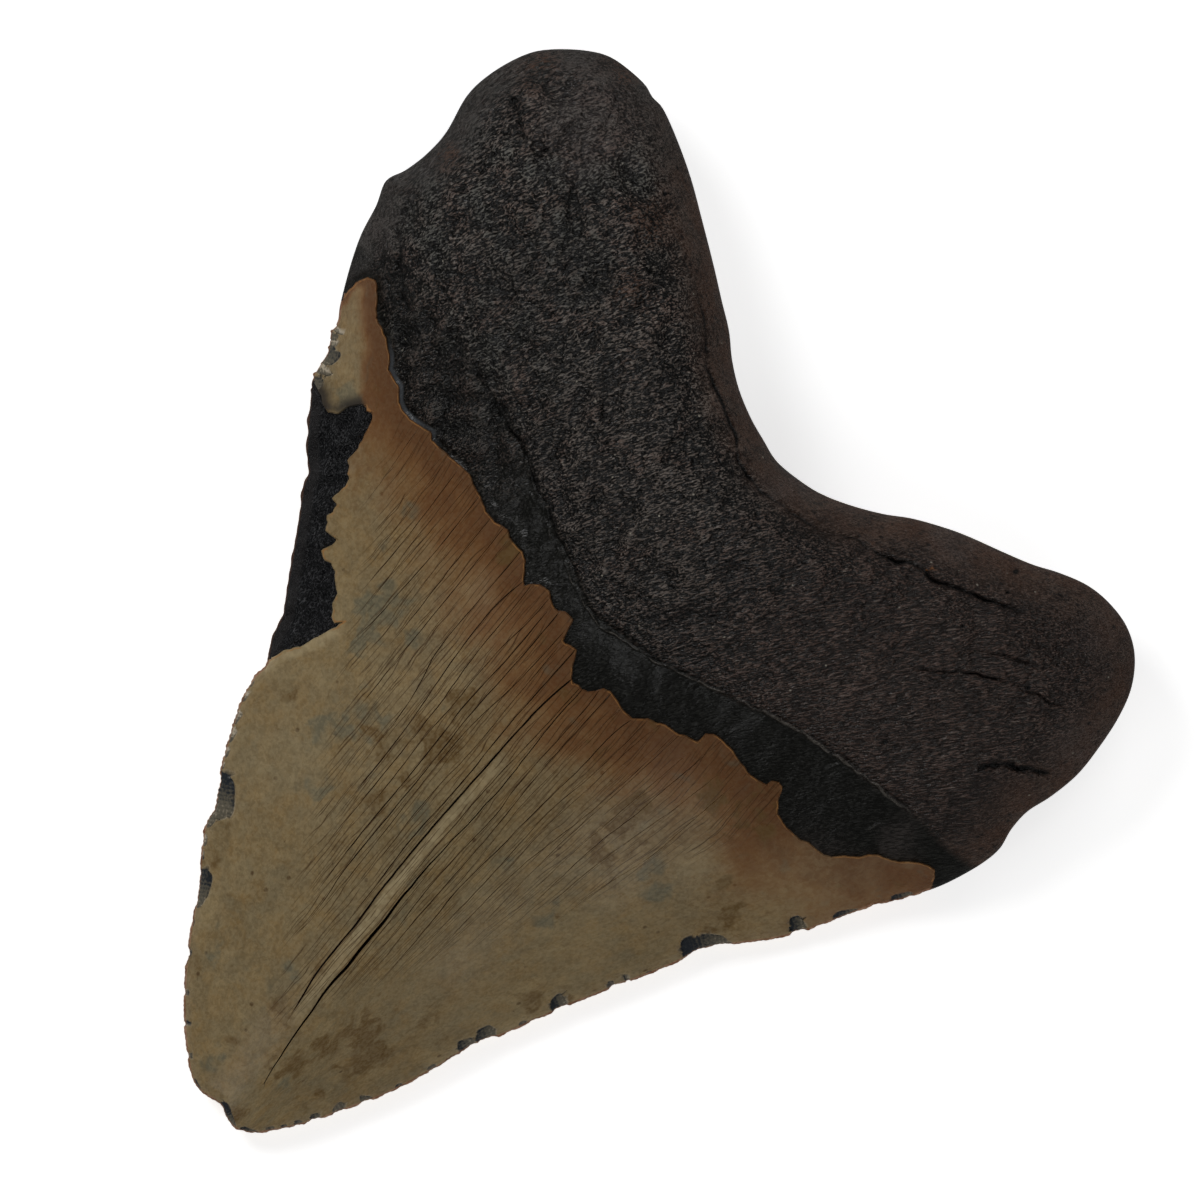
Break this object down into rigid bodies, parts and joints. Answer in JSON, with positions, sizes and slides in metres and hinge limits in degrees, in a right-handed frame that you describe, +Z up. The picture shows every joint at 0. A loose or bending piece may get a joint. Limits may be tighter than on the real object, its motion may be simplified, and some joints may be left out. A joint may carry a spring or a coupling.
{
  "type": "fossil megalodon tooth",
  "caption": "Large triangular fossil shark tooth with a cracked brown enamel crown, worn chipped cutting edges and a dark lobed root; a loose specimen for display.",
  "frame": {"origin": "centre of the bounding box's bottom face; z = 0 is the surface that the tooth lies on", "axes": "+Y from the tip to the root along the tooth, +Z up out of the inner (lingual) face, +X across the crown"},
  "size_m": [0.1224, 0.1432, 0.0289],
  "materials": {
    "tooth": "satin mineralised enamel over rough near-black bone"
  },
  "bodies": {
    "root": {"tooth": "tooth"}
  },
  "joints": []
}
